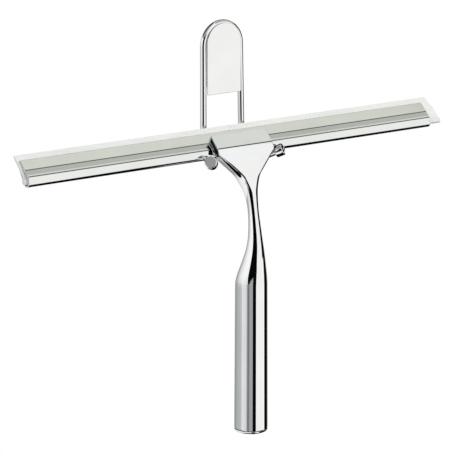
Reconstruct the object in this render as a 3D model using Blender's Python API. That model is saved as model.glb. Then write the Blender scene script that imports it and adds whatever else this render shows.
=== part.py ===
"""Chrome window squeegee hanging by its blade channel from an adhesive wall hook.

Metres. +Z is up, -Y is the front, the wall is the plane Y = 0 and the origin is the middle
of the adhesive pad. Sections of the squeegee are drawn as (y, z) points from the handle axis.
"""

import math

import bmesh
import bpy
from mathutils import Matrix, Vector

MM = 0.001
GAP = 0.0003

# Where the handle axis stands in front of the wall, and the height its sections count from.
HANDLE_Y = -0.0331
HANDLE_Z = -0.0440

# Wall hook
WIRE_RADIUS = 0.0019
WIRE_Y = -0.0021
ARCH_RADIUS = 0.0132
ARCH_Z = 0.0078
# The lower end of a leg, which spreads and leans forward a little, and its arm under the channel.
HEEL = Vector((0.0139, 0.0300, -0.0145))
HEEL_BEND = 0.0100
KNEE_BEND = 0.0050
PLATE_HALF_WIDTH = 0.0121
PLATE_HEIGHT = 0.0424
PLATE_BACK_Y = WIRE_Y - WIRE_RADIUS - GAP
PLATE_THICKNESS = 0.0006
BLOCK_HALF_WIDTH = 0.0100
BLOCK_HEIGHT = 0.0360
PAD_THICKNESS = 0.0009
KNOB_RADIUS = 0.0037
KNOB_LENGTH = 0.0052
KNOB_BORE_DEPTH = 0.0032
KNOB_YAW = math.radians(45)
KNOB_PITCH = math.radians(24)
# Middle of a knob's end face: x outward, then y and z from the handle axis. The bent wire isn't
# quite even: the left knob hangs lower by the stagger, and the right one higher.
KNOB_FACE = Vector((0.0263, 0.0043, -0.0107))
KNOB_STAGGER = 0.0008

# Blade channel, a folded strip
CHANNEL_LENGTH = 0.290
SHEET = 0.0009
PLATE_SLOPE = math.radians(41)
LIP = Vector((0.0207, 0.0019))

# Silicone strip, longer than the channel; its right end is cut at a slant, longest at the bulb
BLADE_LEFT = -0.1462
BLADE_RIGHT = 0.1508
BLADE_TIP_T = 0.0046
END_SLANT = 0.20
BULB_CENTRE = (-0.0120, 0.00425)
BULB_RADIUS = 0.0019

# Handle
HEAD_HALF_WIDTH = 0.0197
JAW_HALF_WIDTH = 0.0100
BARREL_TOP_Z = -0.0885
BARREL_BOTTOM_Z = -0.1780
BARREL_TOP_RADIUS = 0.0097
BARREL_BOTTOM_RADIUS = 0.01015
BORE_RADIUS = 0.0084
BORE_TOP_Z = -0.0950
CAP_HEIGHT = 0.0016
SPIGOT_LENGTH = 0.0090
SET_SCREW_X = 0.0060
SET_SCREW_RADIUS = 0.0020
SET_SCREW_T = -0.0085
SET_SCREW_LENGTH = 0.0026


def clear_scene():
    for obj in list(bpy.data.objects):
        bpy.data.objects.remove(obj, do_unlink=True)


def material(name, colour, metallic, roughness):
    made = bpy.data.materials.new(name)
    made.use_nodes = True
    shader = made.node_tree.nodes["Principled BSDF"]
    shader.inputs["Base Color"].default_value = (*colour, 1.0)
    shader.inputs["Metallic"].default_value = metallic
    shader.inputs["Roughness"].default_value = roughness
    return made


def finish_mesh(name, bm, mat, parent=None):
    bmesh.ops.recalc_face_normals(bm, faces=bm.faces)
    mesh = bpy.data.meshes.new(name)
    bm.to_mesh(mesh)
    bm.free()
    mesh.materials.append(mat)
    obj = bpy.data.objects.new(name, mesh)
    bpy.context.scene.collection.objects.link(obj)
    obj.parent = parent
    return obj


def skin(name, rings, mat, parent=None):
    """One closed body through rings of equal length, with a flat face on each end."""
    bm = bmesh.new()
    rows = [[bm.verts.new(point) for point in ring] for ring in rings]
    count = len(rows[0])
    for lower, upper in zip(rows, rows[1:]):
        for i in range(count):
            j = (i + 1) % count
            bm.faces.new((lower[i], lower[j], upper[j], upper[i]))
    bm.faces.new(rows[0])
    bm.faces.new(rows[-1])
    return finish_mesh(name, bm, mat, parent)


def prism(name, outline, x_left, x_right, mat, parent=None):
    """A (y, z) outline carried along X."""
    rings = [[(x, y, z) for y, z in outline] for x in (x_left, x_right)]
    return skin(name, rings, mat, parent)


def lathe(name, profile, place, mat, parent=None, sides=32):
    """A (radius, height) profile that starts and ends on the axis, turned about local Z."""
    bm = bmesh.new()
    rows = []
    for radius, height in profile:
        if radius == 0:
            rows.append([bm.verts.new(place @ Vector((0, 0, height)))])
            continue
        turns = [2 * math.pi * k / sides for k in range(sides)]
        ring = [Vector((radius * math.cos(a), radius * math.sin(a), height)) for a in turns]
        rows.append([bm.verts.new(place @ point) for point in ring])
    for one, two in zip(rows, rows[1:]):
        for i in range(sides):
            j = (i + 1) % sides
            corners = [one[i % len(one)], one[j % len(one)], two[j % len(two)], two[i % len(two)]]
            bm.faces.new(list(dict.fromkeys(corners)))
    return finish_mesh(name, bm, mat, parent)


def helper(obj):
    obj.hide_render = True
    obj.display_type = "WIRE"
    return obj


def boolean(obj, other, operation):
    change = obj.modifiers.new(f"{operation}_{other.name}", "BOOLEAN")
    change.object = helper(other)
    change.operation = operation
    change.solver = "EXACT"


def along(axis_point, direction):
    """The placement that takes local Z to a direction and local zero to a point."""
    turn = Vector(direction).to_track_quat("Z", "Y").to_matrix().to_4x4()
    return Matrix.Translation(axis_point) @ turn


def spline(points, steps):
    """A smooth curve through the points, with the given number of steps in each span."""
    points = [Vector(point) for point in points]
    ends = [2 * points[0] - points[1]] + points + [2 * points[-1] - points[-2]]
    curve = []
    for before, start, stop, after in zip(ends, ends[1:], ends[2:], ends[3:]):
        for k in range(steps):
            t = k / steps
            curve.append(
                0.5 * (2 * start + t * (stop - before)
                       + t**2 * (2 * before - 5 * start + 4 * stop - after)
                       + t**3 * (3 * start - before - 3 * stop + after))
            )
    return curve + [points[-1]]


def offset(path, distance):
    """An open (y, z) path moved sideways, to its left for a positive distance."""
    moved = []
    for i, point in enumerate(path):
        ahead = (path[min(i + 1, len(path) - 1)] - point).normalized()
        behind = (point - path[max(i - 1, 0)]).normalized()
        if ahead.length == 0:
            ahead = behind
        if behind.length == 0:
            behind = ahead
        left = (Vector((-ahead.y, ahead.x)) + Vector((-behind.y, behind.x))).normalized()
        moved.append(point + left * distance / max(left.dot(Vector((-ahead.y, ahead.x))), 0.5))
    return moved


def in_blade(t, o):
    """A point t up the blade from the channel's front lip and o behind its front face."""
    up, back = math.cos(PLATE_SLOPE), math.sin(PLATE_SLOPE)
    return Vector((LIP.x + t * up + o * back, LIP.y + t * back - o * up))


def fillet_path(corners, radii, step):
    """A 3D polyline with each inner corner turned into an arc of its radius."""
    path = [corners[0]]
    for before, corner, after, radius in zip(corners, corners[1:], corners[2:], radii):
        into, out = (corner - before).normalized(), (after - corner).normalized()
        angle = into.angle(out)
        reach = radius * math.tan(angle / 2)
        start, stop = corner - into * reach, corner + out * reach
        centre = corner + (out - into).normalized() * radius / math.cos(angle / 2)
        steps = max(2, math.ceil(angle / step))
        for k in range(steps + 1):
            way = (start - centre).normalized().slerp((stop - centre).normalized(), k / steps)
            path.append(centre + way * radius)
    return path + [corners[-1]]


def wire(name, path, radius, mat, parent, sides=16):
    """A round wire along a path, its section carried along without twisting."""
    tangents = [(path[min(i + 1, len(path) - 1)] - path[max(i - 1, 0)]).normalized()
                for i in range(len(path))]
    normal = tangents[0].orthogonal().normalized()
    rings = []
    for point, tangent in zip(path, tangents):
        normal = (normal - tangent * normal.dot(tangent)).normalized()
        side = tangent.cross(normal)
        turns = [2 * math.pi * k / sides for k in range(sides)]
        rings.append([point + radius * (math.cos(a) * normal + math.sin(a) * side) for a in turns])
    return skin(name, rings, mat, parent)


def arch_outline(half_width, bottom, top, steps=24):
    """An upright outline in (x, z) with a straight foot and a half-round head."""
    centre = top - half_width
    turns = [math.pi * k / steps for k in range(steps + 1)]
    head = [(half_width * math.cos(a), centre + half_width * math.sin(a)) for a in turns]
    return [(-half_width, bottom), (half_width, bottom)] + head


def slab(name, outline, y_front, y_back, mat, parent):
    rings = [[(x, y, z) for x, z in outline] for y in (y_front, y_back)]
    return skin(name, rings, mat, parent)


def from_handle(side, point):
    """A point given as x outward, y and z from the handle axis, on the left or right."""
    return Vector((side * point[0], HANDLE_Y + point[1], HANDLE_Z + point[2]))


def build_hook(root, chrome, plastic, foam):
    half = PLATE_HEIGHT / 2
    slab("face_plate", arch_outline(PLATE_HALF_WIDTH, -half, half),
         PLATE_BACK_Y - PLATE_THICKNESS, PLATE_BACK_Y, chrome, root)
    block_front = PLATE_BACK_Y + GAP
    block = arch_outline(BLOCK_HALF_WIDTH, -BLOCK_HEIGHT / 2, BLOCK_HEIGHT / 2)
    slab("mounting_block", block, block_front, -PAD_THICKNESS - GAP, plastic, root)
    pad = arch_outline(BLOCK_HALF_WIDTH - 0.0005, 0.0005 - BLOCK_HEIGHT / 2, BLOCK_HEIGHT / 2 - 0.0005)
    slab("adhesive_pad", pad, -PAD_THICKNESS, 0.0, foam, root)

    outward = math.cos(KNOB_PITCH) * math.sin(KNOB_YAW)
    forward = math.cos(KNOB_PITCH) * math.cos(KNOB_YAW)
    knob_axis = Vector((outward, -forward, math.sin(KNOB_PITCH)))
    turns = [math.pi * k / 24 for k in range(1, 24)]
    arch = [Vector((ARCH_RADIUS * math.cos(a), WIRE_Y, ARCH_Z + ARCH_RADIUS * math.sin(a)))
            for a in turns]
    legs, faces = {}, {}
    for side in (-1, 1):
        face = faces[side] = KNOB_FACE + Vector((0, 0, side * KNOB_STAGGER))
        knee = face - knob_axis * (face.z - HEEL.z) / knob_axis.z
        wire_end = face - knob_axis * (KNOB_LENGTH - KNOB_BORE_DEPTH + GAP)
        corners = [Vector((side * ARCH_RADIUS, WIRE_Y, ARCH_Z)), from_handle(side, HEEL),
                   from_handle(side, knee), from_handle(side, wire_end)]
        legs[side] = fillet_path(corners, (HEEL_BEND, KNEE_BEND), math.radians(9))
    wire("hairpin_wire", legs[1][::-1] + arch + legs[-1], WIRE_RADIUS, chrome, root)

    bore = WIRE_RADIUS + GAP
    bevel = 0.0005
    knob = [
        (0, -KNOB_LENGTH + KNOB_BORE_DEPTH), (bore, -KNOB_LENGTH + KNOB_BORE_DEPTH),
        (bore, -KNOB_LENGTH), (KNOB_RADIUS - bevel, -KNOB_LENGTH),
        (KNOB_RADIUS, -KNOB_LENGTH + bevel), (KNOB_RADIUS, -bevel),
        (KNOB_RADIUS - bevel, 0), (0, 0),
    ]
    for side, label in ((-1, "left"), (1, "right")):
        axis = Vector((side * knob_axis.x, knob_axis.y, knob_axis.z))
        lathe(f"end_knob_{label}", knob, along(from_handle(side, faces[side]), axis), chrome, root)


def channel_outside():
    """The outside of the folded strip, from the front lip round the nose to the rear lip."""
    corners = [LIP] + [Vector(p) for p in ((0.0155, -0.0026), (0.0151, -0.00312), (0.0126, -0.0051),
                                           (0.01195, -0.00575), (0.01155, -0.00627))]
    nose = spline([corners[-1], (0.0110, -0.0083), (0.0111, -0.0105), (0.0119, -0.0118),
                   (0.0134, -0.01235), (0.0154, -0.0124), (0.0170, -0.0112), (0.0179, -0.0097)], 3)
    return corners + nose[1:] + [Vector((0.0233, -0.0011))]


def build_blade(squeegee, blade, steel, silicone):
    half = CHANNEL_LENGTH / 2
    outside = channel_outside()
    section = outside + offset(outside, SHEET)[::-1]
    prism("blade_channel", section, -half, half, steel, squeegee)

    turns = [math.radians(50 + 250 * k / 14) for k in range(15)]
    bulb = [(BULB_CENTRE[0] + BULB_RADIUS * math.cos(a), BULB_CENTRE[1] + BULB_RADIUS * math.sin(a))
            for a in turns]
    face, rear = SHEET + GAP, 0.0027
    strip = [(-0.0100, 0.0022), (-0.0065, 0.0017), (-0.0050, face), (BLADE_TIP_T, face),
             (BLADE_TIP_T, 0.0021), (0.0010, rear), (-0.0088, rear)]
    left, right = [], []
    for t, o in strip + bulb:
        y, z = in_blade(t, o)
        left.append((BLADE_LEFT, y, z))
        right.append((BLADE_RIGHT + END_SLANT * (BLADE_TIP_T - t), y, z))
    skin("silicone_blade", [left, right], silicone, blade)


def handle_ring(z, front, rear, half_width, corner, arc=7):
    """A level rounded rectangle of the handle; a full corner makes it round."""
    half_depth = (rear - front) / 2
    corner = min(corner, half_width, half_depth)
    middle = (rear + front) / 2
    ring = []
    for quarter in range(4):
        cx = (half_width - corner) * (1 if quarter in (0, 3) else -1)
        cy = middle + (half_depth - corner) * (1 if quarter in (0, 1) else -1)
        for k in range(arc):
            a = math.pi / 2 * (quarter + k / (arc - 1))
            ring.append((cx + corner * math.cos(a), cy + corner * math.sin(a), z))
    return ring


def build_handle(squeegee, chrome, steel):
    # Height, front, rear, half width and corner radius, in millimetres from the handle axis.
    stations = [
        (-8.0, 4.4, 12.0, 19.7, 0.9), (-9.2, 3.7, 13.0, 19.2, 1.2), (-10.6, 2.9, 14.1, 18.3, 2.4),
        (-12.9, 1.7, 14.5, 16.4, 3.5), (-17.8, 0.1, 12.9, 11.9, 4.4),
        (-22.4, -0.9, 10.5, 7.8, 4.4), (-27.0, -2.1, 8.2, 5.6, 4.2), (-31.5, -3.3, 5.4, 4.25, 4.2),
        (-37.5, -4.2, 2.8, 3.5, 3.5), (-44.5, -5.4, 1.2, 3.3, 3.3), (-51.6, -6.8, 0.5, 3.65, 3.6),
        (-58.8, -8.1, 0.5, 4.3, 4.3), (-66.0, -9.1, 1.7, 5.4, 5.4), (-73.8, -9.5, 4.5, 7.0, 6.9),
        (-81.0, -9.65, 7.6, 8.65, 8.65), (-85.5, -9.68, 9.2, 9.45, 9.45),
    ]
    neck = spline([(z, front, rear) for z, front, rear, _, _ in stations]
                  + [(BARREL_TOP_Z / MM, -BARREL_TOP_RADIUS / MM, BARREL_TOP_RADIUS / MM)], 3)
    sides = spline([(width, corner) for _, _, _, width, corner in stations]
                   + [(BARREL_TOP_RADIUS / MM, BARREL_TOP_RADIUS / MM)], 3)
    rings = [handle_ring(level.x * MM, level.y * MM, level.z * MM, side.x * MM, side.y * MM)
             for level, side in zip(neck, sides)]
    rings.append(handle_ring(BARREL_BOTTOM_Z, -BARREL_BOTTOM_RADIUS, BARREL_BOTTOM_RADIUS,
                             BARREL_BOTTOM_RADIUS, BARREL_BOTTOM_RADIUS))
    body = skin("handle_body", rings, chrome, squeegee)

    facet = [(0.0132, 0.0017), (0.0063, -0.00485), (0.0040, -0.0090), (0.0090, -0.0115),
             (0.0150, -0.0090), in_blade(-0.0063, 0.0008)]
    block = prism("head_block", facet, -HEAD_HALF_WIDTH, HEAD_HALF_WIDTH, chrome, squeegee)
    jaw_outline = [(0.0060, -0.0110), (0.0150, -0.0090), (0.0185, -0.0065), (0.0215, -0.0055),
                   (0.0228, -0.0078), (0.0180, -0.0145), (0.0115, -0.0178), (0.0060, -0.0178)]
    jaw = prism("rear_jaw", jaw_outline, -JAW_HALF_WIDTH, JAW_HALF_WIDTH, chrome, squeegee)
    half = CHANNEL_LENGTH / 2
    groove = prism("groove", offset(channel_outside(), -GAP), -half, half, chrome, squeegee)
    bore = lathe("bore", [(0, BARREL_BOTTOM_Z - 0.001), (BORE_RADIUS, BARREL_BOTTOM_Z - 0.001),
                          (BORE_RADIUS, BORE_TOP_Z), (0, BORE_TOP_Z + 0.004)],
                 Matrix.Identity(4), chrome, squeegee)
    boolean(body, block, "UNION")
    boolean(body, jaw, "UNION")
    boolean(body, groove, "DIFFERENCE")
    boolean(body, bore, "DIFFERENCE")

    # The rear wall of the channel, and the square-on direction that the set screws press in.
    wall_low, wall_high = channel_outside()[-2:]
    wall = (wall_high - wall_low).normalized()
    out = Vector((wall.y, -wall.x))
    foot = wall_low.lerp(wall_high, 0.27) + out * GAP
    for side, label in ((-1, "left"), (1, "right")):
        direction = Vector((0, out.x, out.y))
        place = along(Vector((side * SET_SCREW_X, foot.x, foot.y)), direction)
        hole_radius = SET_SCREW_RADIUS + GAP
        hole = lathe(f"hole_{label}", [(0, -0.0008), (hole_radius, -0.0008), (hole_radius, 0.010),
                                       (0, 0.010)], place, chrome, squeegee)
        boolean(body, hole, "DIFFERENCE")
        screw = lathe(f"set_screw_{label}",
                      [(0, 0), (SET_SCREW_RADIUS - 0.0004, 0), (SET_SCREW_RADIUS, 0.0004),
                       (SET_SCREW_RADIUS, SET_SCREW_LENGTH), (0, SET_SCREW_LENGTH)],
                      place, steel, squeegee)
        socket = lathe(f"socket_{label}", [(0, 0.0010), (0.0011, 0.0010), (0.0011, 0.010), (0, 0.010)],
                       place, steel, squeegee, sides=6)
        boolean(screw, socket, "DIFFERENCE")

    spigot = BORE_RADIUS - GAP
    top = BARREL_BOTTOM_Z - GAP
    lathe("handle_end_cap",
          [(0, top + SPIGOT_LENGTH), (spigot - 0.0005, top + SPIGOT_LENGTH),
           (spigot, top + SPIGOT_LENGTH - 0.0005), (spigot, top), (BARREL_BOTTOM_RADIUS, top),
           (BARREL_BOTTOM_RADIUS, top - 0.0003), (BARREL_BOTTOM_RADIUS - 0.0008, top - CAP_HEIGHT),
           (0, top - CAP_HEIGHT)],
          Matrix.Identity(4), chrome, squeegee, sides=48)


def empty(name, place, parent=None):
    made = bpy.data.objects.new(name, None)
    made.location = place
    bpy.context.scene.collection.objects.link(made)
    made.parent = parent
    return made


clear_scene()
CHROME = material("chrome", (0.80, 0.81, 0.83), 1.0, 0.06)
STEEL = material("polished_steel", (0.72, 0.74, 0.74), 1.0, 0.12)
SILICONE = material("silicone", (0.86, 0.88, 0.88), 0.0, 0.35)
PLASTIC = material("white_plastic", (0.85, 0.85, 0.84), 0.0, 0.45)
FOAM = material("adhesive_foam", (0.78, 0.78, 0.76), 0.0, 0.85)

hook = empty("wall_hook", (0, 0, 0))
squeegee = empty("squeegee", (0, HANDLE_Y, HANDLE_Z))
blade = empty("blade", (0, 0, 0), squeegee)
build_hook(hook, CHROME, PLASTIC, FOAM)
build_blade(squeegee, blade, STEEL, SILICONE)
build_handle(squeegee, CHROME, STEEL)
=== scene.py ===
"""Looks of the chrome window squeegee on its wall hook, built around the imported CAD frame."""

import math

import bmesh
import bpy
from mathutils import Matrix, Vector


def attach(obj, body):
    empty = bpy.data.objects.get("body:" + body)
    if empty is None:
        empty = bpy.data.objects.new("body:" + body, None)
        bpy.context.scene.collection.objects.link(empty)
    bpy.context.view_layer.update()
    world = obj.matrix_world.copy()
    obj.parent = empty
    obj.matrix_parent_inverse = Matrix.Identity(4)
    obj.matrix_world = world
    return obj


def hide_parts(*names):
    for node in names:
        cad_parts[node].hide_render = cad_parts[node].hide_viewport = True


MM = 0.001
GAP = 0.0003

# The frame the squeegee's sections are drawn in: its handle axis, as in the CAD model.
HANDLE = Vector((0, -0.0331, -0.0440))

# Camera: the photograph's angle, aimed a little left of the handle.
AZIMUTH = math.radians(-34.81)
ELEVATION = math.radians(14.31)
CAMERA_DISTANCE = 1.4151
CAMERA_TARGET = Vector((-0.0192, -0.0353, -0.0941))
LENS = 190.9

WIRE_RADIUS = 0.0019
WIRE_Y = -0.0021
ARCH_RADIUS = 0.0132
ARCH_Z = 0.0078
HEEL = Vector((0.0139, 0.0300, -0.0145))
HEEL_BEND = 0.0100
KNEE_BEND = 0.0050
PLATE_HALF_WIDTH = 0.0121
PLATE_HEIGHT = 0.0424
PLATE_BACK_Y = WIRE_Y - WIRE_RADIUS - GAP
PLATE_THICKNESS = 0.0006
PLATE_ROUNDING = 0.00025
SPACER_HALF_WIDTH = 0.0100
SPACER_HALF_HEIGHT = 0.0180
SPACER_BACK_Y = -0.0012
SPACER_ROUNDING = 0.0003
PAD_HALF_WIDTH = 0.0095
PAD_HALF_HEIGHT = 0.0175
PAD_THICKNESS = 0.0009
PAD_ROUNDING = 0.00015
KNOB_RADIUS = 0.0037
KNOB_BEVEL = 0.0006
KNOB_LENGTH = 0.0052
KNOB_BORE_DEPTH = 0.0032
KNOB_YAW = math.radians(45)
KNOB_PITCH = math.radians(24)
KNOB_AXIS = Vector((math.cos(KNOB_PITCH) * math.sin(KNOB_YAW),
                    -math.cos(KNOB_PITCH) * math.cos(KNOB_YAW), math.sin(KNOB_PITCH)))
KNOB_FACE = Vector((0.0263, 0.0043, -0.0107))
KNOB_STAGGER = 0.0008
CHANNEL_LENGTH = 0.290
SHEET = 0.0009
PLATE_SLOPE = math.radians(41)
LIP = Vector((0.0207, 0.0019))
LIP_ROUNDING = 0.0003
CHANNEL_ROUNDING = 0.0004
BLADE_LEFT = -0.1462
BLADE_RIGHT = 0.1508
BLADE_TIP_T = 0.0046
END_SLANT = 0.20
BULB_CENTRE = (-0.0120, 0.00425)
BULB_RADIUS = 0.0019
STRIP_REAR = 0.0027
STRIP_ROUNDING = 0.0001
HANDLE_CREASE_DEGREES = 28
HEAD_HALF_WIDTH = 0.0197
RECESS_DEPTH = 0.0024
JAW_HALF_WIDTH = 0.0100
JAW_ROUNDING = 0.0004
BARREL_TOP_Z = -0.0885
BARREL_BOTTOM_Z = -0.1780
BARREL_TOP_RADIUS = 0.0097
BARREL_BOTTOM_RADIUS = 0.01015
BORE_RADIUS = 0.0084
FOOT_BEVEL = 0.0002
CAP_HEIGHT = 0.0016
SPIGOT_LENGTH = 0.0090

# Where one part of the studio gives way to the next, by the height of a direction of length 1.
GROUND_TOP = (-0.50, -0.45)
BELOW_TOP = (-0.36, -0.33)
EYE_LEVEL_TOP = (-0.205, -0.19)
EYE_LEVEL_TOP_SOFT = (-0.24, -0.04)
WALLS_TOP = (0.36, 0.40)
LEAN_HEIGHTS = (-0.23, -0.13)
GROUND_DROP = 0.32

# The same, by how far the direction points to the right.
CEILING_EDGE = (0.1, 0.14)
GROUND_STEP = (0.35, 0.5)

# The same, by degrees round from straight in front, positive to the right.
LEAN_LIMIT = 20.0
LEAN_DEGREES = 7.0
SOFT_LIMIT = -65.0

FLOOR_HALF_SIDE = 2.0
FLOOR_Z = -1.5
LIGHT_AIM = Vector((0, 0, -0.1))


# ---------------------------------------------------------------- mesh helpers


def finish_mesh(name, bm, mat, sharp=35):
    """Makes the object, shaded smooth except at edges sharper than so many degrees."""
    bmesh.ops.recalc_face_normals(bm, faces=bm.faces)
    mesh = bpy.data.meshes.new(name)
    bm.to_mesh(mesh)
    bm.free()
    mesh.materials.append(mat)
    mesh.shade_smooth()
    mesh.set_sharp_from_angle(angle=math.radians(sharp))
    obj = bpy.data.objects.new(name, mesh)
    bpy.context.scene.collection.objects.link(obj)
    return obj


def skin(name, rings, mat, sharp=35):
    """One closed body through rings of equal length."""
    bm = bmesh.new()
    rows = [[bm.verts.new(point) for point in ring] for ring in rings]
    count = len(rows[0])
    for lower, upper in zip(rows, rows[1:]):
        for i in range(count):
            j = (i + 1) % count
            bm.faces.new((lower[i], lower[j], upper[j], upper[i]))
    bm.faces.new(rows[0])
    bm.faces.new(rows[-1])
    return finish_mesh(name, bm, mat, sharp)


def lathe(name, profile, place, mat):
    """A (radius, height) profile from axis to axis, turned about local Z."""
    sides = 96
    bm = bmesh.new()
    rows = []
    for radius, height in profile:
        if radius == 0:
            rows.append([bm.verts.new(place @ Vector((0, 0, height)))])
            continue
        turns = [2 * math.pi * k / sides for k in range(sides)]
        ring = [Vector((radius * math.cos(a), radius * math.sin(a), height)) for a in turns]
        rows.append([bm.verts.new(place @ point) for point in ring])
    for one, two in zip(rows, rows[1:]):
        for i in range(sides):
            j = (i + 1) % sides
            corners = [one[i % len(one)], one[j % len(one)], two[j % len(two)], two[i % len(two)]]
            bm.faces.new(list(dict.fromkeys(corners)))
    return finish_mesh(name, bm, mat)


def along(axis_point, direction):
    """The placement that puts local Z along a direction, with its origin at a point."""
    turn = Vector(direction).to_track_quat("Z", "Y").to_matrix().to_4x4()
    return Matrix.Translation(axis_point) @ turn


def round_corner(corner, before, after, radius, steps=6):
    """The points of an arc that rounds one corner of an outline."""
    into, out = (corner - before).normalized(), (after - corner).normalized()
    angle = into.angle(out)
    if angle < 0.01:
        return [corner]
    reach = radius * math.tan(angle / 2)
    centre = corner + (out - into).normalized() * radius / math.cos(angle / 2)
    start, stop = corner - into * reach - centre, corner + out * reach - centre
    arc = []
    weight = math.sin(angle)
    for k in range(steps + 1):
        t = k / steps
        way = start * (math.sin((1 - t) * angle) / weight) + stop * (math.sin(t * angle) / weight)
        arc.append(centre + way)
    return arc


def rounded(points, radii, steps):
    """A path with its inner corners rounded, each by its own radius."""
    points = [Vector(point) for point in points]
    path = [points[0]]
    for before, corner, after, radius in zip(points, points[1:], points[2:], radii):
        path += round_corner(corner, before, after, radius, steps)
    return path + [points[-1]]


def spline(points, steps):
    """A smooth curve through the points, in so many steps from one to the next."""
    points = [Vector(point) for point in points]
    ends = [2 * points[0] - points[1]] + points + [2 * points[-1] - points[-2]]
    curve = []
    for before, start, stop, after in zip(ends, ends[1:], ends[2:], ends[3:]):
        for k in range(steps):
            t = k / steps
            curve.append(
                0.5 * (2 * start + t * (stop - before)
                       + t**2 * (2 * before - 5 * start + 4 * stop - after)
                       + t**3 * (3 * start - before - 3 * stop + after))
            )
    return curve + [points[-1]]


def offset(path, distance, closed=False):
    """A flat path moved sideways, to its left for a positive distance."""
    moved, count = [], len(path)
    for i, point in enumerate(path):
        after = path[(i + 1) % count] if closed or i < count - 1 else None
        before = path[i - 1] if closed or i > 0 else None
        ahead = (after - point).normalized() if after is not None else (point - before).normalized()
        behind = (point - before).normalized() if before is not None else ahead
        left = (Vector((-ahead.y, ahead.x)) + Vector((-behind.y, behind.x))).normalized()
        moved.append(point + left * distance / max(left.dot(Vector((-ahead.y, ahead.x))), 0.5))
    return moved


def soft_edges(outline, depth_low, depth_high, radius, place, steps=4):
    """Rings for a thick plate whose two rims are rounded; place turns (u, v, depth) into a point."""
    rings = []
    area = sum(p.x * q.y - q.x * p.y for p, q in zip(outline, outline[1:] + outline[:1]))
    inward = 1 if area > 0 else -1
    for low in (True, False):
        for k in range(steps + 1):
            a = math.pi / 2 * (k if low else steps - k) / steps
            inset = radius * (1 - math.sin(a))
            lift = radius * (1 - math.cos(a))
            depth = depth_low + lift if low else depth_high - lift
            ring = offset(outline, inward * inset, closed=True) if inset > 1e-9 else outline
            rings.append([place(point.x, point.y, depth) for point in ring])
    return rings


def in_blade(t, o):
    """A point t up the blade from the channel's front lip and o behind its front face."""
    up, back = math.cos(PLATE_SLOPE), math.sin(PLATE_SLOPE)
    return Vector((LIP.x + t * up + o * back, LIP.y + t * back - o * up))


def sweep(name, path, radius, mat):
    """A round wire along a path."""
    sides = 32
    tangents = [(path[min(i + 1, len(path) - 1)] - path[max(i - 1, 0)]).normalized()
                for i in range(len(path))]
    normal = tangents[0].orthogonal().normalized()
    rings = []
    for point, tangent in zip(path, tangents):
        normal = (normal - tangent * normal.dot(tangent)).normalized()
        side = tangent.cross(normal)
        turns = [2 * math.pi * k / sides for k in range(sides)]
        rings.append([point + radius * (math.cos(a) * normal + math.sin(a) * side) for a in turns])
    return skin(name, rings, mat)


def carve(body, cutter):
    """Cuts a shape out of the handle. The cut takes the cutter's material."""
    cut = body.modifiers.new("carve", "BOOLEAN")
    cut.object, cut.operation, cut.solver = cutter, "DIFFERENCE", "EXACT"
    cut.material_mode = "TRANSFER"
    carved = body.evaluated_get(bpy.context.evaluated_depsgraph_get())
    body.data = bpy.data.meshes.new_from_object(carved)
    body.modifiers.clear()
    body.data.set_sharp_from_angle(angle=math.radians(HANDLE_CREASE_DEGREES))
    bpy.data.objects.remove(cutter)


def from_handle(side, point):
    """A point measured from the handle axis, on the left for side -1 and on the right for 1."""
    return Vector((side * point[0], HANDLE.y + point[1], HANDLE.z + point[2]))


def piece(obj, body, *nodes, slot):
    """Puts a piece on the body it rides on and hides the CAD nodes it stands for. Its slot is not used.
    """
    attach(obj, body)
    if nodes:
        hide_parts(*nodes)


# ---------------------------------------------------------------- materials


def new_material(name):
    """A material with its node tree and its shader."""
    mat = bpy.data.materials.new(name)
    mat.use_nodes = True
    tree = mat.node_tree
    return mat, tree, tree.nodes["Principled BSDF"]


def noise(tree, scale, detail=3.0, stretch=(1, 1, 1)):
    """A noise texture that keeps its size on the object."""
    coords = tree.nodes.new("ShaderNodeTexCoord")
    mapping = tree.nodes.new("ShaderNodeMapping")
    mapping.inputs["Scale"].default_value = stretch
    texture = tree.nodes.new("ShaderNodeTexNoise")
    texture.inputs["Scale"].default_value = scale
    texture.inputs["Detail"].default_value = detail
    tree.links.new(coords.outputs["Object"], mapping.inputs["Vector"])
    tree.links.new(mapping.outputs["Vector"], texture.inputs["Vector"])
    return texture.outputs["Fac"]


def ramp(tree, value, stops):
    """Colours by value, from (position, colour) stops."""
    node = tree.nodes.new("ShaderNodeValToRGB")
    elements = node.color_ramp.elements
    while len(elements) < len(stops):
        elements.new(0.5)
    for element, (position, colour) in zip(elements, stops):
        element.position = position
        element.color = (*colour, 1.0)
    tree.links.new(value, node.inputs["Fac"])
    return node.outputs["Color"]


def grey(value):
    return (value, value, value)


def bump(tree, shader, height, strength, distance):
    """Gives a material's surface an unevenness."""
    node = tree.nodes.new("ShaderNodeBump")
    node.inputs["Strength"].default_value = strength
    node.inputs["Distance"].default_value = distance
    tree.links.new(height, node.inputs["Height"])
    tree.links.new(node.outputs["Normal"], shader.inputs["Normal"])


def chrome(name, tint, smear, wave):
    """Plated metal: faint smears in its gloss, faint unevenness in its polish."""
    mat, tree, shader = new_material(name)
    shader.inputs["Metallic"].default_value = 1.0
    darker = tuple(c * 0.965 for c in tint)
    tone = ramp(tree, noise(tree, 60), [(0.35, darker), (0.65, tint)])
    tree.links.new(tone, shader.inputs["Base Color"])
    gloss = ramp(tree, noise(tree, 45, 4.0, (1, 1, 0.35)),
                 [(0.35, grey(smear[0])), (0.7, grey(smear[1]))])
    tree.links.new(gloss, shader.inputs["Roughness"])
    bump(tree, shader, noise(tree, 90, 2.0), wave, 0.0002)
    return mat


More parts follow.
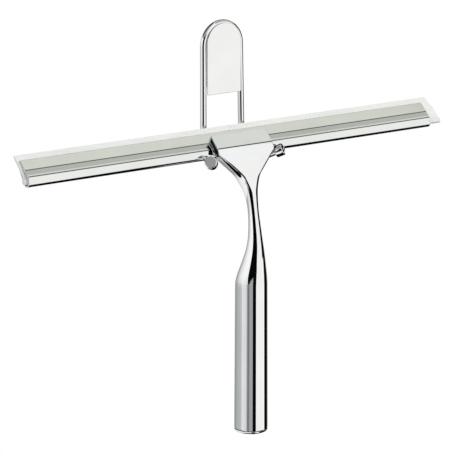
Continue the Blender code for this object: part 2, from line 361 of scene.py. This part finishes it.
def plain(name, colours, roughness, scale, height, distance, **sockets):
    """An unplated material: a mottled colour and a fine grain."""
    mat, tree, shader = new_material(name)
    tone = ramp(tree, noise(tree, scale), [(0.3, colours[0]), (0.7, colours[1])])
    tree.links.new(tone, shader.inputs["Base Color"])
    shader.inputs["Roughness"].default_value = roughness
    for socket, value in sockets.items():
        shader.inputs[socket.replace("_", " ")].default_value = value
    bump(tree, shader, noise(tree, scale * 6), height, distance)
    return mat


CHROME = chrome("chrome_plate", (0.955, 0.96, 0.96), (0.02, 0.06), 0.015)
CHANNEL = chrome("polished_channel", (0.89, 0.905, 0.89), (0.03, 0.07), 0.02)
SILICONE = plain("silicone", ((0.89, 0.895, 0.875), (0.95, 0.955, 0.935)), 0.32, 40, 0.05, 0.0002,
                 Transmission_Weight=0.15, IOR=1.41)
PLASTIC = plain("spacer_plastic", ((0.80, 0.80, 0.79), (0.86, 0.86, 0.85)), 0.45, 120, 0.1, 0.0002)
FOAM = plain("pad_foam", ((0.70, 0.70, 0.68), (0.82, 0.82, 0.80)), 0.85, 900, 0.6, 0.0004)
# The recess lining is near-black: painted shade for the dark inside the head's end pockets.
RECESS_SHADE = plain("recess_painted_shade", (grey(0.015), grey(0.05)), 0.4, 150, 0.3, 0.0003)
SCREW = chrome("screw_steel", (0.60, 0.61, 0.62), (0.22, 0.35), 0.05)


# ---------------------------------------------------------------- wall hook


def arch_outline(half_width, half_height):
    """A plate's outline: a half-round top and a straight foot with its corners eased."""
    corner = 0.0006
    centre, bottom = half_height - half_width, -half_height
    turns = [math.pi * k / 48 for k in range(49)]
    head = [Vector((half_width * math.cos(a), centre + half_width * math.sin(a))) for a in turns]
    foot = [Vector((-half_width, bottom)), Vector((half_width, bottom))]
    left = round_corner(foot[0], head[-1], foot[1], corner)
    right = round_corner(foot[1], foot[0], head[0], corner)
    return left + right + head


def upright(x, z, y):
    """A point of an outline that is drawn on the wall."""
    return (x, y, z)


def build_face_plate():
    outline = arch_outline(PLATE_HALF_WIDTH, PLATE_HEIGHT / 2)
    rings = soft_edges(outline, PLATE_BACK_Y - PLATE_THICKNESS, PLATE_BACK_Y, PLATE_ROUNDING, upright)
    piece(skin("hook_plate", rings, CHROME), "wall_hook", "face_plate", slot="chrome")


def build_spacer():
    outline = arch_outline(SPACER_HALF_WIDTH, SPACER_HALF_HEIGHT)
    rings = soft_edges(outline, PLATE_BACK_Y + GAP, SPACER_BACK_Y, SPACER_ROUNDING, upright)
    piece(skin("spacer", rings, PLASTIC), "wall_hook", "mounting_block", slot="plastic")


def build_pad():
    outline = arch_outline(PAD_HALF_WIDTH, PAD_HALF_HEIGHT)
    rings = soft_edges(outline, -PAD_THICKNESS, 0.0, PAD_ROUNDING, upright)
    piece(skin("foam_pad", rings, FOAM), "wall_hook", "adhesive_pad", slot="foam")


def knob_face(side):
    """The middle of a knob's face, for from_handle to place. The left knob hangs a little lower."""
    return KNOB_FACE + Vector((0, 0, side * KNOB_STAGGER))


def wire_leg(side):
    """One leg of the wire: down from the arch to the heel, forward to the knee, up into the knob."""
    face = knob_face(side)
    knee = face - KNOB_AXIS * (face.z - HEEL.z) / KNOB_AXIS.z
    wire_end = face - KNOB_AXIS * (KNOB_LENGTH - KNOB_BORE_DEPTH + GAP)
    corners = [(side * ARCH_RADIUS, WIRE_Y, ARCH_Z), from_handle(side, HEEL),
               from_handle(side, knee), from_handle(side, wire_end)]
    return rounded(corners, (HEEL_BEND, KNEE_BEND), steps=16)


def build_wire():
    turns = [math.pi * k / 60 for k in range(1, 60)]
    arch = [Vector((ARCH_RADIUS * math.cos(a), WIRE_Y, ARCH_Z + ARCH_RADIUS * math.sin(a)))
            for a in turns]
    wire = sweep("hook_wire", wire_leg(1)[::-1] + arch + wire_leg(-1), WIRE_RADIUS, CHROME)
    piece(wire, "wall_hook", "hairpin_wire", slot="chrome")


def build_knobs():
    """Two buttons with rounded rims, each with a blind bore for the wire's end."""
    bore = WIRE_RADIUS + GAP
    rim = [(KNOB_RADIUS - KNOB_BEVEL + KNOB_BEVEL * math.sin(a), -KNOB_BEVEL + KNOB_BEVEL * math.cos(a))
           for a in [math.pi / 2 * (6 - k) / 6 for k in range(7)]]
    back = [(r, -KNOB_LENGTH - h) for r, h in rim[::-1]]
    floor_z = -KNOB_LENGTH + KNOB_BORE_DEPTH
    profile = [(0, floor_z), (bore, floor_z), (bore, -KNOB_LENGTH)] + back + rim + [(0, 0)]
    for side, label in ((-1, "left"), (1, "right")):
        axis = Vector((side * KNOB_AXIS.x, KNOB_AXIS.y, KNOB_AXIS.z))
        place = along(from_handle(side, knob_face(side)), axis)
        knob = lathe(f"hook_knob_{label}", profile, place, CHROME)
        piece(knob, "wall_hook", f"end_knob_{label}", slot="chrome")


# ---------------------------------------------------------------- blade


def flat(start, stop):
    """The rest of a straight stretch, with a point close to each end that keeps its shading flat."""
    margin = 0.00006
    step = (stop - start).normalized() * margin
    return [start + step, stop - step, stop]


def channel_section():
    """The folded strip from its front lip back: plate, step, scoop, crease and nose."""
    corners = [Vector(p) for p in ((0.0155, -0.0026), (0.0151, -0.00312), (0.0126, -0.0051),
                                   (0.01195, -0.00575), (0.01155, -0.00627))]
    nose = spline([corners[-1], (0.0110, -0.0083), (0.0111, -0.0105), (0.0119, -0.0118),
                   (0.0134, -0.01235), (0.0154, -0.0124), (0.0170, -0.0112), (0.0179, -0.0097)], 10)
    rest = nose[1:] + [Vector((0.0233, -0.0011))]
    inside = offset([LIP] + corners + rest, SHEET)
    outside = round_corner(LIP, inside[0], corners[0], LIP_ROUNDING, 12)
    for start, stop in zip(outside[-1:] + corners, corners):
        outside += flat(start, stop)
    return outside + rest + inside[::-1]


def across(u, v, depth):
    """A point of a section drawn from the handle axis, so far along the blade."""
    return (depth, HANDLE.y + u, HANDLE.z + v)


def build_channel():
    half = CHANNEL_LENGTH / 2
    rings = soft_edges(channel_section(), -half, half, CHANNEL_ROUNDING, across, 12)
    channel = skin("channel", rings, CHANNEL, 8)
    piece(channel, "squeegee", "blade_channel", slot="channel_metal")


def slanted(t, o, depth):
    """A point of the silicone's section, so far along it. Its right end is cut at a slant."""
    share = (depth - BLADE_LEFT) / (BLADE_RIGHT - BLADE_LEFT)
    return across(*in_blade(t, o), depth + share * END_SLANT * (BLADE_TIP_T - t))


def build_silicone():
    """A strip with a bulb along its lower edge, which the channel holds."""
    turns = [math.radians(50 + 250 * k / 24) for k in range(25)]
    bulb = [Vector((BULB_CENTRE[0] + BULB_RADIUS * math.cos(a),
                    BULB_CENTRE[1] + BULB_RADIUS * math.sin(a))) for a in turns]
    face, rear = SHEET + GAP, STRIP_REAR
    strip = [Vector(p) for p in (
        (-0.0100, 0.0022), (-0.0065, 0.0017), (-0.0050, face), (BLADE_TIP_T, face),
        (BLADE_TIP_T, 0.0021), (0.0010, rear), (-0.0088, rear))]
    rings = soft_edges(strip + bulb, BLADE_LEFT, BLADE_RIGHT, STRIP_ROUNDING, slanted, 2)
    silicone = skin("silicone_strip", rings, SILICONE)
    piece(silicone, "blade", "silicone_blade", slot="silicone")


# ---------------------------------------------------------------- handle

# Levels of the handle: height, front, rear, half width and corner radius, in millimetres from its
# axis. Levels close together keep the head's crease crisp.
HEAD_LEVELS = [
    (1.70, 13.25, 13.45, 19.3, 0.1), (1.55, 13.1, 13.7, 19.6, 0.25),
    (1.45, 12.99, 13.8, 19.7, 0.35), (-1.60, 9.75, 16.0, 19.7, 0.35),
    (-4.40, 6.76, 12.7, 19.7, 0.35), (-4.46, 6.69, 12.6, 19.7, 0.35),
    (-4.50, 6.65, 12.5, 19.7, 0.35), (-5.16, 6.18, 12.1, 19.7, 0.35),
    (-5.20, 6.16, 12.0, 19.7, 0.35), (-5.28, 6.11, 12.0, 19.7, 0.35),
    (-6.3, 5.5, 11.1, 19.7, 0.4), (-8.4, 4.2, 10.6, 19.6, 0.6), (-9.2, 3.7, 10.9, 19.1, 1.2),
]
NECK_LEVELS = [
    (-10.6, 2.9, 12.4, 18.3, 2.4), (-12.9, 1.7, 14.5, 16.4, 3.5), (-17.8, 0.1, 12.9, 11.9, 4.4),
    (-22.4, -0.9, 10.5, 7.8, 4.4), (-27.0, -2.1, 8.2, 5.6, 4.2), (-31.5, -3.3, 5.4, 4.25, 4.2),
    (-37.5, -4.2, 2.8, 3.5, 3.5), (-44.5, -5.4, 1.2, 3.3, 3.3), (-51.6, -6.8, 0.5, 3.65, 3.6),
    (-58.8, -8.1, 0.5, 4.3, 4.3), (-66.0, -9.1, 1.7, 5.4, 5.4), (-73.8, -9.5, 4.5, 7.0, 6.9),
    (-81.0, -9.65, 7.6, 8.65, 8.65), (-85.5, -9.68, 9.2, 9.45, 9.45),
]

# Sections drawn from the handle axis: the recess in each end of the head, and the rear jaw.
RECESS = [Vector(p) for p in (
    (0.0132, 0.0006), (0.0104, -0.0022), (0.0074, -0.0050), (0.0056, -0.0086),
    (0.0094, -0.0086), (0.0102, -0.0062), (0.0118, -0.0044), (0.0144, -0.0020))]
JAW = [Vector(p) for p in (
    (0.0126, -0.0128), (0.0156, -0.0128), (0.0174, -0.0114), (0.0183, -0.0099),
    (0.0213, -0.0050), (0.0226, -0.0062), (0.0228, -0.0078), (0.0180, -0.0145),
    (0.0115, -0.0178), (0.0080, -0.0178), (0.0080, -0.0140))]


def handle_ring(z, front, rear, half_width, corner):
    """One level of the handle: a rounded rectangle, or a circle where the corners meet."""
    arc = 17
    half_depth = (rear - front) / 2
    corner = min(corner, half_width, half_depth)
    middle = (rear + front) / 2
    ring = []
    for quarter in range(4):
        cx = (half_width - corner) * (1 if quarter in (0, 3) else -1)
        cy = middle + (half_depth - corner) * (1 if quarter in (0, 1) else -1)
        for k in range(arc):
            a = math.pi / 2 * (quarter + k / (arc - 1))
            ring.append(HANDLE + Vector((cx + corner * math.cos(a), cy + corner * math.sin(a), z)))
    return ring


def neck_levels():
    """Levels along smooth curves through the neck's own, down to the top of the barrel."""
    steps, top = 12, BARREL_TOP_RADIUS / MM
    depths = [level[:3] for level in NECK_LEVELS] + [(BARREL_TOP_Z / MM, -top, top)]
    widths = [level[3:] for level in NECK_LEVELS] + [(top, top)]
    return [(*a, *b) for a, b in zip(spline(depths, steps), spline(widths, steps))]


def build_handle_body():
    """The head with its two recesses, the flared neck and the barrel."""
    levels = HEAD_LEVELS + neck_levels()
    rings = [handle_ring(*(value * MM for value in level)) for level in levels]
    foot = BARREL_BOTTOM_RADIUS
    for z, inset in ((BARREL_BOTTOM_Z + FOOT_BEVEL, 0), (BARREL_BOTTOM_Z, FOOT_BEVEL)):
        rings.append(handle_ring(z, inset - foot, foot - inset, foot - inset, foot - inset))
    body = skin("handle", rings, CHROME, HANDLE_CREASE_DEGREES)
    floor, clear = HEAD_HALF_WIDTH - RECESS_DEPTH, HEAD_HALF_WIDTH + MM
    # The recesses take the near-black lining, which is painted shade.
    for start, stop in ((-clear, -floor), (floor, clear)):
        rings = [[across(p.x, p.y, depth) for p in RECESS] for depth in (start, stop)]
        carve(body, skin("recess", rings, RECESS_SHADE))
    piece(body, "squeegee", "handle_body", slot="chrome")


def build_rear_jaw():
    rings = soft_edges(JAW, -JAW_HALF_WIDTH, JAW_HALF_WIDTH, JAW_ROUNDING, across)
    piece(skin("rear_jaw", rings, CHROME), "squeegee", slot="chrome")


def build_end_cap():
    """A cap with a rounded edge under the barrel's foot, and a spigot up its bore."""
    foot, spigot, top = BARREL_BOTTOM_RADIUS, BORE_RADIUS - GAP, BARREL_BOTTOM_Z - GAP
    profile = [
        (0, top + SPIGOT_LENGTH), (spigot, top + SPIGOT_LENGTH), (spigot, top),
        (foot - 0.0001, top), (foot, top - 0.0001), (foot - 0.0001, top - 0.0009),
        (foot - 0.0004, top - 0.0013), (foot - 0.0010, top - CAP_HEIGHT), (0, top - CAP_HEIGHT),
    ]
    cap = lathe("end_cap", profile, Matrix.Translation(HANDLE), CHROME)
    piece(cap, "squeegee", "handle_end_cap", slot="chrome")


def dress_set_screws(frame):
    """The two set screws keep their CAD meshes, in steel."""
    for label in ("left", "right"):
        screw = frame["nodes"][f"set_screw_{label}"]
        screw.data.materials.clear()
        screw.data.materials.append(SCREW)


# ---------------------------------------------------------------- studio

DARK = 0.002

# Panoramas of the studio at four heights: brightness by degrees round from straight in front,
# positive to the right.
EYE_LEVEL = [
    (-180, 0.31), (-154, 0.42), (-141, 0.47), (-120, 0.50), (-107, 0.56), (-103, 0.80),
    (-80, 0.76), (-69, 0.70), (-65, 0.42), (-58, 0.17), (-54, 0.16), (-47, 0.34), (-44, 0.38),
    (-25, 0.38), (-24, DARK), (-1, DARK), (0, 1.0), (6, 0.93), (56, 0.93), (58, 1.0),
    (68, 1.0), (70, DARK), (112, DARK), (116, 0.45), (150, 0.42), (180, 0.31),
]
ABOVE = [
    (-180, 0.38), (-165, 0.48), (-140, 0.78), (-118, 0.90), (-98, 1.0), (-61, 1.0),
    (-59.5, DARK), (-1, DARK), (0, 1.0), (6, 0.93), (55, 0.93), (57, DARK), (114, DARK),
    (116, 0.90), (150, 0.80), (165, 0.35), (180, 0.38),
]
BELOW = [
    (-180, 0.60), (-160, 0.88), (-128, 0.93), (-32, 0.93), (-31, DARK), (-1, DARK), (0, 0.93),
    (52, 0.93), (54, DARK), (114, DARK), (118, 0.30), (168, 0.30), (176, 0.50), (180, 0.60),
]
TOP = [
    (-180, 0.01), (-112, 0.01), (-104, 0.30), (-28, 0.33), (-20, 0.93), (150, 0.93),
    (165, 0.01), (180, 0.01),
]

# Overhead on the right: colours by degrees from straight in front over the top. A dark gap, a dim
# edge, two bright panels, a dimmer one and the dark beyond it.
COOL_PANEL = (0.70, 0.73, 0.69)
WARM_PANEL = (0.715, 0.725, 0.665)
CEILING = [
    (48, grey(0.93)), (50, grey(0.02)), (57, grey(0.02)), (59, grey(0.16)), (70, grey(0.16)),
    (73, COOL_PANEL), (80, COOL_PANEL), (81, WARM_PANEL), (85, WARM_PANEL),
    (86.5, (0.50, 0.51, 0.475)), (110, (0.46, 0.47, 0.435)), (114, grey(0.05)), (150, grey(0.05)),
    (165, grey(0.4)),
]


def calc(tree, operation, a, b):
    """A sum on two values, each a number or another node's output."""
    node = tree.nodes.new("ShaderNodeMath")
    node.operation = operation
    for socket, value in zip(node.inputs, (a, b)):
        if isinstance(value, (int, float)):
            socket.default_value = value
        else:
            tree.links.new(value, socket)
    return node.outputs["Value"]


def rise(tree, value, start, stop):
    """0 below start, 1 above stop."""
    node = tree.nodes.new("ShaderNodeMapRange")
    node.inputs["From Min"].default_value = start
    node.inputs["From Max"].default_value = stop
    tree.links.new(value, node.inputs["Value"])
    return node.outputs["Result"]


def mixed(tree, factor, first, second):
    """The first colour where the factor is 0, the second where it is 1."""
    node = tree.nodes.new("ShaderNodeMix")
    node.data_type = "RGBA"
    tree.links.new(factor, node.inputs["Factor"])
    for socket, value in (("A", first), ("B", second)):
        if isinstance(value, tuple):
            node.inputs[socket].default_value = value
        else:
            tree.links.new(value, node.inputs[socket])
    return node.outputs["Result"]


def panorama(tree, place, levels):
    """The colours of a panorama, with its dimmer parts on the left cooler than the rest."""
    tints = [(0.95, 0.985, 1.0) if angle < -20 and level < 0.9 else (1.0, 1.0, 0.985)
             for angle, level in levels]
    return ramp(tree, place, [((angle + 180) / 360, tuple(level * c for c in tint))
                              for (angle, level), tint in zip(levels, tints)])


def studio_colour(tree, rightward, toward, up):
    """The studio's colour by direction, given the direction's parts right, to the front and up."""
    # Degrees round from straight in front, positive to the right. The left part leans as it rises.
    turn = calc(tree, "MULTIPLY", calc(tree, "ARCTAN2", rightward, toward), 180 / math.pi)
    leans = calc(tree, "LESS_THAN", turn, LEAN_LIMIT)
    lean = calc(tree, "MULTIPLY", rise(tree, up, *LEAN_HEIGHTS), leans)
    bent = calc(tree, "ADD", turn, calc(tree, "MULTIPLY", lean, LEAN_DEGREES))
    place = calc(tree, "ADD", calc(tree, "DIVIDE", bent, 360.0), 0.5)
    eye_level, above, below, top = (
        panorama(tree, place, levels) for levels in (EYE_LEVEL, ABOVE, BELOW, TOP))
    over = calc(tree, "DIVIDE", calc(tree, "ARCTAN2", up, toward), math.pi)
    panels = ramp(tree, over, [(angle / 180, colour) for angle, colour in CEILING])

    # Eye level and above meet in a crisp edge, but blend softly beyond a limit on the left.
    crisp, soft = rise(tree, up, *EYE_LEVEL_TOP), rise(tree, up, *EYE_LEVEL_TOP_SOFT)
    beyond = calc(tree, "LESS_THAN", bent, SOFT_LIMIT)
    softer = calc(tree, "MULTIPLY", beyond, calc(tree, "SUBTRACT", soft, crisp))
    middle = mixed(tree, calc(tree, "ADD", crisp, softer), eye_level, above)
    walls = mixed(tree, rise(tree, up, *BELOW_TOP), below, middle)
    upper = mixed(tree, rise(tree, rightward, *CEILING_EDGE), top, panels)
    room = mixed(tree, rise(tree, up, *WALLS_TOP), walls, upper)
    # The dark ground reaches higher on the right.
    left = calc(tree, "SUBTRACT", 1.0, rise(tree, rightward, *GROUND_STEP))
    height = calc(tree, "ADD", up, calc(tree, "MULTIPLY", left, GROUND_DROP))
    return mixed(tree, rise(tree, height, *GROUND_TOP), (*grey(DARK), 1.0), room)


def build_world():
    """A studio of soft boxes and dark flags that the plating mirrors. The camera sees plain white."""
    world = bpy.data.worlds.new("studio")
    bpy.context.scene.world = world
    world.use_nodes = True
    tree = world.node_tree
    nodes, links = tree.nodes, tree.links
    nodes.clear()
    coords = nodes.new("ShaderNodeTexCoord")
    parts = nodes.new("ShaderNodeSeparateXYZ")
    links.new(coords.outputs["Generated"], parts.inputs["Vector"])
    toward = calc(tree, "MULTIPLY", parts.outputs["Y"], -1.0)
    lit = nodes.new("ShaderNodeBackground")
    links.new(studio_colour(tree, parts.outputs["X"], toward, parts.outputs["Z"]), lit.inputs["Color"])
    seen = nodes.new("ShaderNodeBackground")
    seen.inputs["Color"].default_value = (1, 1, 1, 1)
    path = nodes.new("ShaderNodeLightPath")
    mix = nodes.new("ShaderNodeMixShader")
    out = nodes.new("ShaderNodeOutputWorld")
    links.new(path.outputs["Is Camera Ray"], mix.inputs["Fac"])
    links.new(lit.outputs["Background"], mix.inputs[1])
    links.new(seen.outputs["Background"], mix.inputs[2])
    links.new(mix.outputs["Shader"], out.inputs["Surface"])


def build_stage():
    """A plain pale floor, which the plating doesn't mirror."""
    bm = bmesh.new()
    side = FLOOR_HALF_SIDE
    bm.faces.new([bm.verts.new((x, y, FLOOR_Z)) for x, y in
                  ((-side, -side), (side, -side), (side, side), (-side, side))])
    paint = plain("pale_floor", (grey(0.93), grey(0.96)), 0.9, 3, 0.0, 0.001)
    floor = finish_mesh("floor", bm, paint)
    floor.visible_glossy = False


def build_lights():
    """Two soft lights for the silicone and the hidden pieces. The plating doesn't mirror them."""
    lamps = (("key", (0.9, -1.3, 1.1), 1.2, 20), ("fill", (-1.4, -0.6, 0.5), 1.4, 8))
    for name, place, size, power in lamps:
        data = bpy.data.lights.new(name, "AREA")
        data.size = size
        data.energy = power
        lamp = bpy.data.objects.new(name, data)
        lamp.location = place
        lamp.rotation_mode = "QUATERNION"
        lamp.rotation_quaternion = (LIGHT_AIM - Vector(place)).to_track_quat("-Z", "Y")
        lamp.visible_glossy = False
        bpy.context.scene.collection.objects.link(lamp)


def build_camera():
    """A long lens at the photograph's angle."""
    back = Vector((math.sin(AZIMUTH) * math.cos(ELEVATION),
                   -math.cos(AZIMUTH) * math.cos(ELEVATION), math.sin(ELEVATION)))
    data = bpy.data.cameras.new("camera")
    data.lens = LENS
    data.sensor_width = 36
    data.clip_end = 20
    camera = bpy.data.objects.new("camera", data)
    camera.location = CAMERA_TARGET + back * CAMERA_DISTANCE
    camera.rotation_mode = "QUATERNION"
    camera.rotation_quaternion = back.to_track_quat("Z", "Y")
    bpy.context.scene.collection.objects.link(camera)
    bpy.context.scene.camera = camera


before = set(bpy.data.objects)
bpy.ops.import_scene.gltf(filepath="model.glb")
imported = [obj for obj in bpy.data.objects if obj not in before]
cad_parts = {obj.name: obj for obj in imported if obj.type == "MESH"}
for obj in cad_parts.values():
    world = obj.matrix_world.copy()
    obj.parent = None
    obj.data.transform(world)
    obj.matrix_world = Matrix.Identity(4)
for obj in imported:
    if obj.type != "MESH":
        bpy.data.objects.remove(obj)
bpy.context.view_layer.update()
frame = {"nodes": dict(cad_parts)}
build_face_plate()
build_spacer()
build_pad()
build_wire()
build_knobs()
build_channel()
build_silicone()
build_handle_body()
build_rear_jaw()
build_end_cap()
dress_set_screws(frame)
build_world()
build_stage()
build_lights()
build_camera()
bpy.context.scene.view_settings.view_transform = "Standard"
